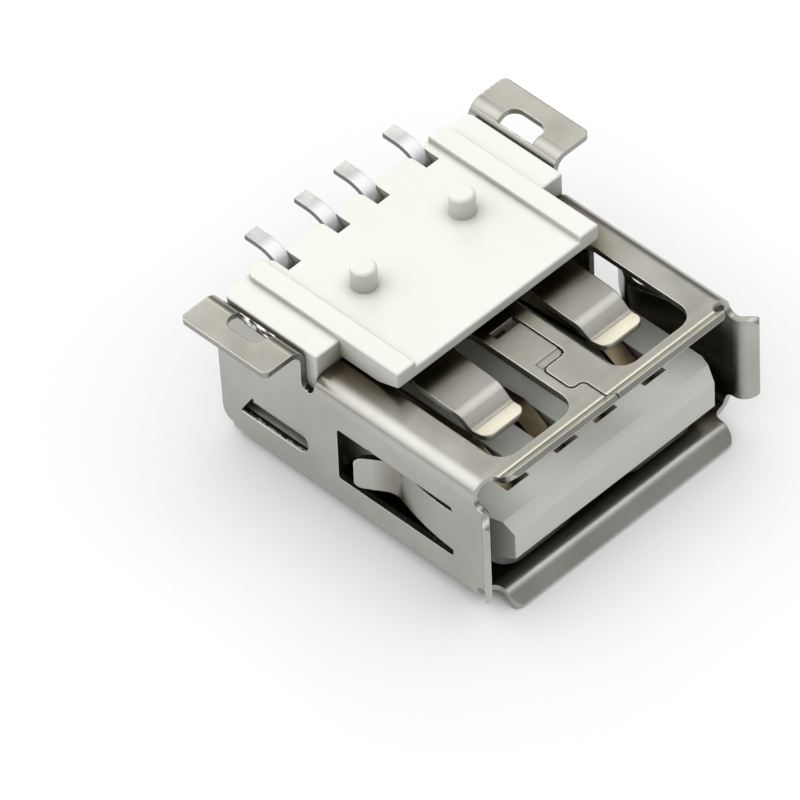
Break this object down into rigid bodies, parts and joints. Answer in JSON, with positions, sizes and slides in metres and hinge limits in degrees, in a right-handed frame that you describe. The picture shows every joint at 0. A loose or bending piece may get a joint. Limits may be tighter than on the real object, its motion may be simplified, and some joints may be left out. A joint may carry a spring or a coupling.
{
  "type": "usb-a socket",
  "caption": "Low rectangular surface-mount board socket: a folded steel shell with flared mouth, lanced springs and solder tabs around a plastic tongue with contacts; takes a flat Type-A plug.",
  "frame": {"origin": "on the circuit board's plane, midway between the two locating pegs", "axes": "+Z points to the circuit board, which is up in the picture; X runs across the contacts; the mouth opens towards -Y and the tails point to +Y"},
  "size_m": [0.0164, 0.0151, 0.008],
  "materials": {
    "shell": "satin nickel plate",
    "housing": "smooth moulded, semi-matte",
    "contact": "gold-plated beams, tinned tails"
  },
  "bodies": {
    "root": {"shell": "shell", "housing": "housing", "contact_1": "contact", "contact_2": "contact", "contact_3": "contact", "contact_4": "contact"}
  },
  "joints": []
}
